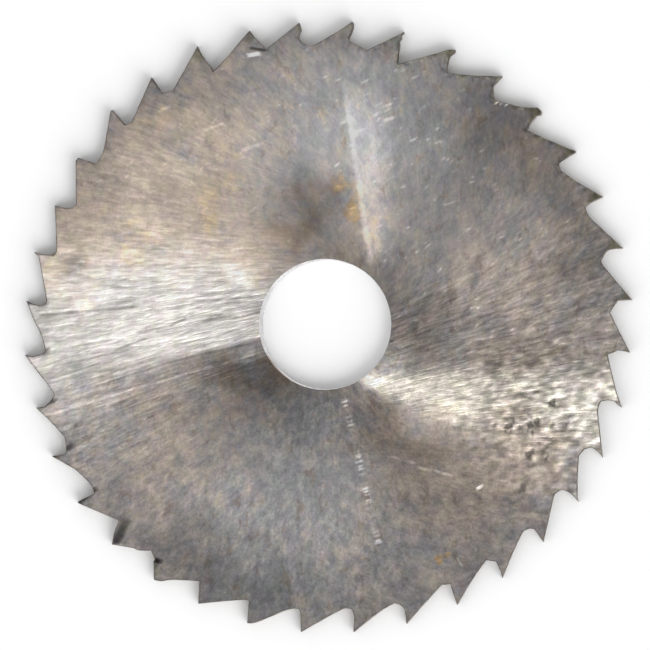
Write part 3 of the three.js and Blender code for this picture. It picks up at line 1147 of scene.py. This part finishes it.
    def lightness(self):
        """Darker round the bore and at the rim, with painted shade along the edges, and brighter in the
        fans and the pale band, which are painted highlights.
        """
        brushed = self.patches(0.8, 4.0, 0.62, 0.2, squeeze=0.12)
        brushed = self.product(brushed, self.attribute("brushed"))
        stops = self.total(
            # The fans and the pale band are painted highlights.
            (self.attribute("left_highlight_fan"), LEFT_HIGHLIGHT_STOPS),
            (self.attribute("right_highlight_wedge"), RIGHT_HIGHLIGHT_STOPS),
            (self.attribute("top_highlight_band"), TOP_HIGHLIGHT_STOPS),
            self.attribute("light"),
            # Scratches, and the painted highlights beside the pits.
            self.attribute("scratch_and_glint_light"),
            # Painted light and shade of the dents.
            (self.attribute("painted_dent_shading"), 0.75),
            # The grinding marks painted in as light and dark streaks: painted highlight, strongest in
            # the fans.
            (self.streak, 2.0),
            self.texture_stops(),
            self.blotches,
            (brushed, 0.35),
        )
        # Painted shade along the edges of the face.
        edge = self.between(self.attribute("edge_gap"), 0.05, 0.32, 1.0, 0.0)
        return self.product(
            self.between(self.radius, 10.0, 27.0, 0.61, 0.90),
            self.between(self.radius, 38.0, 50.0, 1.0, 0.86),
            self.math("POWER", 2.0, stops),
            self.math("SUBTRACT", 1.0, self.product(edge, self.attribute("painted_edge_shade"))),
        )


def face_material(name, shift):
    """Ground steel with curled grinding marks, fans of painted highlight, stains and wear."""
    material = bpy.data.materials.new(name)
    tree = FaceTree(material, shift)
    colour = tree.mix(1.0, tree.colour(), tree.lightness(), "MULTIPLY")
    in_pit = tree.between(tree.attribute("pit"), 0.1, 1.0, 0.0, 0.85)
    colour = tree.mix(in_pit, colour, PIT_OXIDE)
    roughness = tree.total(0.34, (tree.spots, -0.25))
    height = tree.total(
        (tree.streak, 0.07), (tree.grain, 0.015), (tree.spots, 0.03), (tree.hairs, 0.02)
    )
    tree.steel(colour, 1.0, roughness, height, Anisotropic=0.8, Tangent=tree.across_marks())
    return material


def side_material(name, dark, pale, metallic):
    """Filed steel with patches of oxide, for the rim and the bore."""
    material = bpy.data.materials.new(name)
    tree = Tree(material)
    place_mm = tree.place_mm()
    patches = tree.noise(place_mm, 0.45, 4.0, 0.62)
    file_cuts = tree.noise(tree.stretch(place_mm, 3.0, 3.0, 0.35), 1.6, 3.0, 0.6)
    colour = tree.mix(tree.between(patches, 0.35, 0.62), dark, pale)
    shade = tree.between(file_cuts, 0.3, 0.7, 0.75, 1.2, "LINEAR")
    colour = tree.mix(1.0, colour, shade, "MULTIPLY")
    stained = tree.total(tree.attribute("brown"), tree.attribute("ochre"))
    colour = tree.mix(tree.between(stained, 0.1, 0.7, 0.0, 0.85), colour, BROWN_STAIN)
    roughness = tree.between(patches, 0.3, 0.7, 0.60, 0.36)
    tree.steel(colour, metallic, roughness, tree.product(file_cuts, 0.05))
    return material


# In the order of the finish numbers.
FINISHES = (
    face_material("ground_steel_face", (0.0, 0.0, 0.0)),
    side_material("filed_rim", (0.10, 0.085, 0.07, 1), (0.26, 0.23, 0.20, 1), 0.85),
    side_material("dull_bore", (0.42, 0.41, 0.41, 1), (0.58, 0.57, 0.57, 1), 0.2),
    face_material("ground_steel_back", (31.0, 17.0, 9.0)),
    side_material("worn_mouth", (0.72, 0.70, 0.69, 1), (0.90, 0.89, 0.90, 1), 1.0),
)
for material in FINISHES:
    blade.data.materials.append(material)


# ---------------- the table

TABLE_HALF = 4.0  # metres
TABLE_DROP = 0.00002


def build_table():
    mesh = bpy.data.meshes.new("white_table")
    corners = [(-1, -1), (1, -1), (1, 1), (-1, 1)]
    points = [(x * TABLE_HALF, y * TABLE_HALF, -TABLE_DROP) for x, y in corners]
    mesh.from_pydata(points, [], [(0, 1, 2, 3)])
    material = bpy.data.materials.new("white_paper")
    tree = Tree(material)
    inputs = {"Base Color": (0.80, 0.80, 0.80, 1), "Roughness": 0.9, "Specular IOR Level": 0.1}
    tree.show(tree.add("ShaderNodeBsdfPrincipled", inputs))
    mesh.materials.append(material)
    new_object("white_table", mesh)


build_table()


# ---------------- light and camera

CAMERA_DISTANCE = 1.2  # metres
VIEW_WIDTH = 0.1116  # metres, at the disc
SENSOR_WIDTH = 36
LEAN_RIGHT, LEAN_DOWN = math.radians(4.5), math.radians(2.0)
VIEW_CENTRE = Vector((-0.22, -0.11, THICKNESS)) * MM


def aim(thing, position, target, up):
    """Puts a lamp or camera at a position, looking at a target."""
    back = (Vector(position) - Vector(target)).normalized()
    side = Vector(up).cross(back).normalized()
    top = back.cross(side)
    turn = Matrix((side, top, back)).transposed()
    thing.matrix_world = Matrix.Translation(position) @ turn.to_4x4()


def add_lamp(name, kind, power, angle, elevation, distance):
    """A lamp at a clock angle and elevation from the disc, and a distance in metres."""
    data = bpy.data.lights.new(name, kind)
    data.energy = power
    thing = new_object(name, data)
    x, y = place(angle, math.cos(math.radians(elevation)) * distance)
    position = (x, y, math.sin(math.radians(elevation)) * distance)
    aim(thing, position, (0, 0, 0), (0, 0, 1))
    return thing


def shadow_lamp(name, power, angle, elevation, spread):
    """A wide soft light from far away for the table's shadow, which the metal doesn't mirror."""
    thing = add_lamp(name, "SUN", power, angle, elevation, 1.0)
    thing.data.angle = math.radians(spread)
    thing.visible_glossy = False


def shine_lamp(name, power, angle, elevation, distance, size):
    """A small soft lamp that only the metal mirrors."""
    thing = add_lamp(name, "AREA", power, angle, elevation, distance)
    thing.data.shape = "RECTANGLE"
    thing.data.size, thing.data.size_y = size
    thing.visible_diffuse = False


def build_surround():
    """A pale surround, lighter near the horizon than overhead."""
    world = bpy.data.worlds.new("studio")
    bpy.context.scene.world = world
    tree = Tree(world)
    direction = tree.add("ShaderNodeTexCoord").outputs["Generated"]
    _, _, height = tree.add("ShaderNodeSeparateXYZ", {0: direction}).outputs
    sky = tree.mix(tree.between(height, 0.05, 0.6), (1.0, 1.0, 1.0, 1), (0.65, 0.65, 0.655, 1))
    tree.show(tree.add("ShaderNodeBackground", {"Color": sky}), "ShaderNodeOutputWorld")


def build_camera():
    """A long lens a little right of and below straight above."""
    data = bpy.data.cameras.new("camera")
    data.sensor_width = SENSOR_WIDTH
    data.lens = SENSOR_WIDTH * CAMERA_DISTANCE / VIEW_WIDTH
    data.clip_start = 0.01
    camera = new_object("camera", data)
    toward = Vector((math.sin(LEAN_RIGHT), -math.sin(LEAN_DOWN), 1.0)).normalized()
    aim(camera, VIEW_CENTRE + toward * CAMERA_DISTANCE, VIEW_CENTRE, (0, 1, 0))
    bpy.context.scene.camera = camera


shadow_lamp("key_lamp", power=2.75, angle=143, elevation=30, spread=56)
shadow_lamp("fill_lamp", power=0.95, angle=226, elevation=30, spread=58)
shine_lamp("lower_lamp", power=2.2, angle=173, elevation=42, distance=0.7, size=(0.12, 0.20))
build_surround()
build_camera()
bpy.context.scene.view_settings.view_transform = "Standard"
